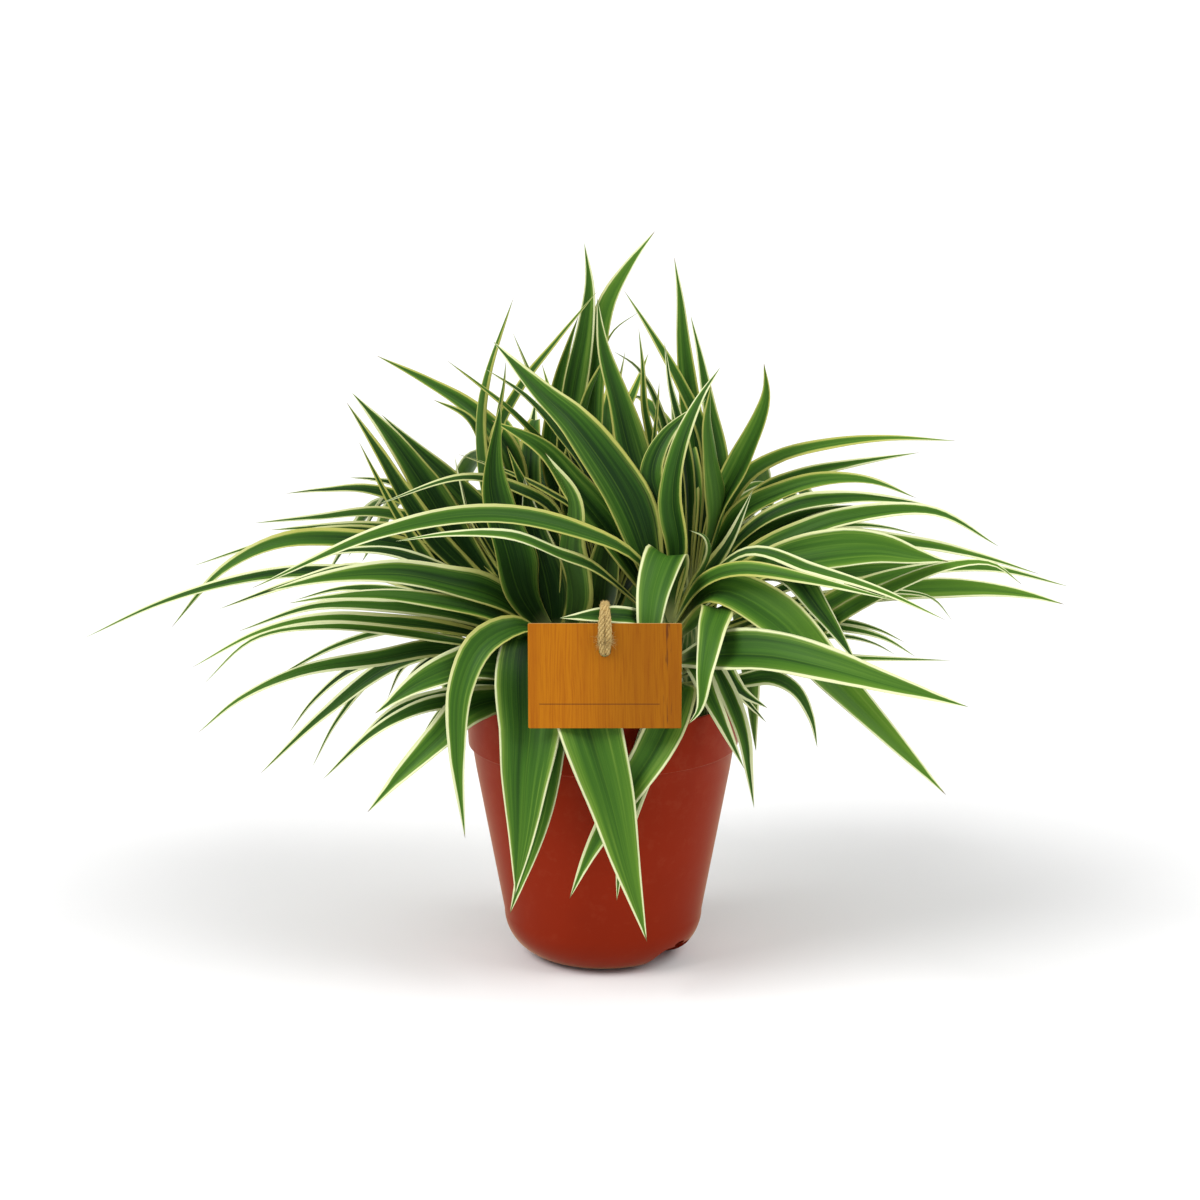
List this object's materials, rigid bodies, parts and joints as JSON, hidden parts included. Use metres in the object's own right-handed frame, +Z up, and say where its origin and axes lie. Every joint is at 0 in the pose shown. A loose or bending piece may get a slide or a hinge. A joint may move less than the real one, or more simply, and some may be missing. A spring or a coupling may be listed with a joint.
{
  "type": "potted spider plant",
  "caption": "Spider plant with arching, cream-edged striped leaves in crowded crowns, in a soil-filled tapered plastic pot, with a card tag on a twine loop.",
  "frame": {"origin": "middle of the pot's underside, on the surface it stands on", "axes": "+Z up along the pot's axis, -Y towards the front, where the card tag hangs"},
  "size_m": [0.4311, 0.2794, 0.3159],
  "materials": {
    "pot_plastic": "satin terracotta-red injection-moulded plastic",
    "potting_soil": "loose dark peat crumb",
    "striped_leaf": "satin leaf, dark green with lighter lengthwise stripes and cream to yellow edges",
    "printed_card": "matt card printed with a warm wood grain",
    "jute_twine": "hairy pale tan twine"
  },
  "bodies": {
    "root": {"pot": "pot_plastic", "potting_soil": "potting_soil", "crown_front_right": "striped_leaf", "crown_front_left": "striped_leaf", "crown_back_left": "striped_leaf", "crown_back_middle": "striped_leaf", "crown_back_right": "striped_leaf", "card_tag": "printed_card", "twine_loop": "jute_twine"}
  },
  "joints": []
}
